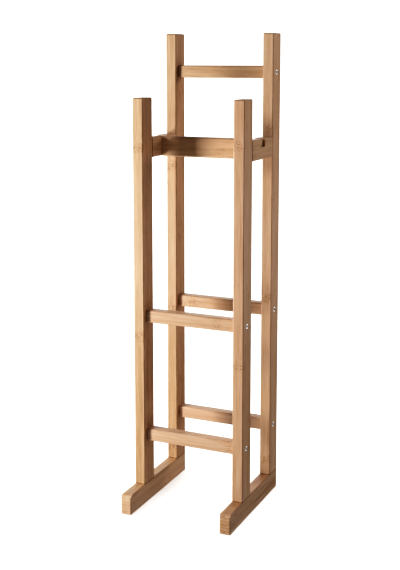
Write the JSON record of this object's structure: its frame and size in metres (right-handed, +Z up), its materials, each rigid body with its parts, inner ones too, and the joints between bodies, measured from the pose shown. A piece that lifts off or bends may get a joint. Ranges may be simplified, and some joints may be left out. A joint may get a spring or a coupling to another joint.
{
  "type": "towel rack",
  "caption": "Free-standing slim bamboo towel rack: two footed side frames joined by screwed rails, with a crossbar that lifts out of notches.",
  "frame": {"origin": "on the floor at the middle of the overall box", "axes": "+X to the rack's right, -Y to its front, +Z up"},
  "size_m": [0.21, 0.226, 0.846],
  "materials": {
    "bamboo": "satin clear lacquer",
    "dowel_wood": "raw",
    "screw_steel": "bright zinc plate"
  },
  "bodies": {
    "frame": {"left_foot": "bamboo", "right_foot": "bamboo", "left_front_upright": "bamboo", "left_rear_upright": "bamboo", "right_front_upright": "bamboo", "right_rear_upright": "bamboo", "left_side_rail": "bamboo", "right_side_rail": "bamboo", "front_low_rail": "bamboo", "front_mid_rail": "bamboo", "rear_low_rail": "bamboo", "rear_mid_rail": "bamboo", "rear_top_rail": "bamboo", "left_front_low_screw": "screw_steel", "left_front_mid_screw": "screw_steel", "left_rear_low_screw": "screw_steel", "left_rear_mid_screw": "screw_steel", "left_rear_top_screw": "screw_steel", "right_front_low_screw": "screw_steel", "right_front_mid_screw": "screw_steel", "right_rear_low_screw": "screw_steel", "right_rear_mid_screw": "screw_steel", "right_rear_top_screw": "screw_steel", "left_front_foot_dowel_1": "dowel_wood", "left_front_foot_dowel_2": "dowel_wood", "left_front_rail_dowel_1": "dowel_wood", "left_front_rail_dowel_2": "dowel_wood", "left_rear_foot_dowel_1": "dowel_wood", "left_rear_foot_dowel_2": "dowel_wood", "left_rear_rail_dowel_1": "dowel_wood", "left_rear_rail_dowel_2": "dowel_wood", "right_front_foot_dowel_1": "dowel_wood", "right_front_foot_dowel_2": "dowel_wood", "right_front_rail_dowel_1": "dowel_wood", "right_front_rail_dowel_2": "dowel_wood", "right_rear_foot_dowel_1": "dowel_wood", "right_rear_foot_dowel_2": "dowel_wood", "right_rear_rail_dowel_1": "dowel_wood", "right_rear_rail_dowel_2": "dowel_wood"},
    "crossbar": {"crossbar": "bamboo"}
  },
  "joints": [
    {"name": "crossbar_lift", "type": "slide", "parent": "frame", "child": "crossbar", "axis": [0, 0, 1], "range_m": [0, 0.08]}
  ]
}
